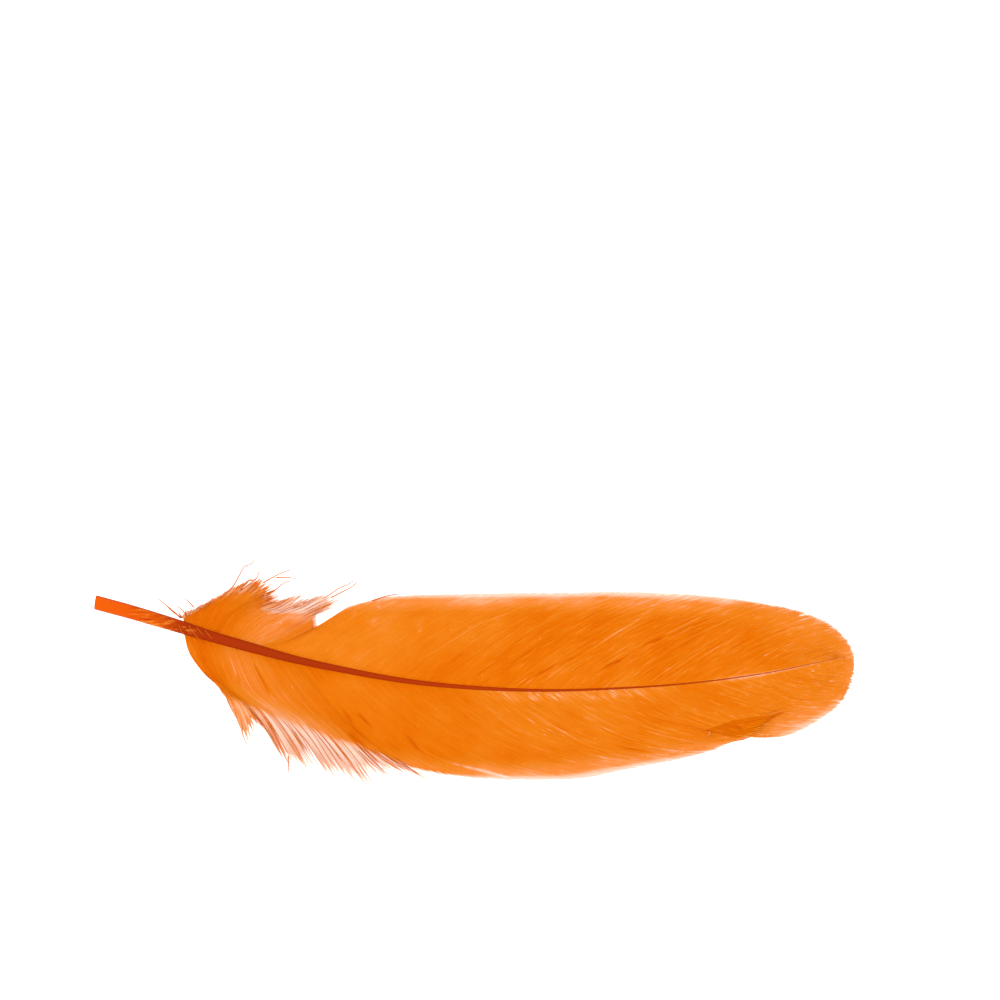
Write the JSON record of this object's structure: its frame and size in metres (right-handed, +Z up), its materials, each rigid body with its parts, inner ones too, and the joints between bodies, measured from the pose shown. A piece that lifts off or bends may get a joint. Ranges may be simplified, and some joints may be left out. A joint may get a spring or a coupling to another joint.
{
  "type": "hat feather",
  "caption": "Plain dyed goose-type feather for a hat band: curved vane on a tapered shaft, a bare cut quill, and loose downy barbs at the foot of the vane.",
  "frame": {"origin": "under the middle of the feather's box, on the surface that it lies on", "axes": "+X along the feather from the cut quill to the tip, +Y across it towards the narrower vane, +Z up, out of the feather's rounded outer side"},
  "size_m": [0.1794, 0.055, 0.0068],
  "materials": {
    "dyed_feather": "soft satin, dyed bright orange, paler and see-through towards the rim, dark red-brown along the shaft"
  },
  "bodies": {
    "root": {"feather": "dyed_feather"}
  },
  "joints": []
}
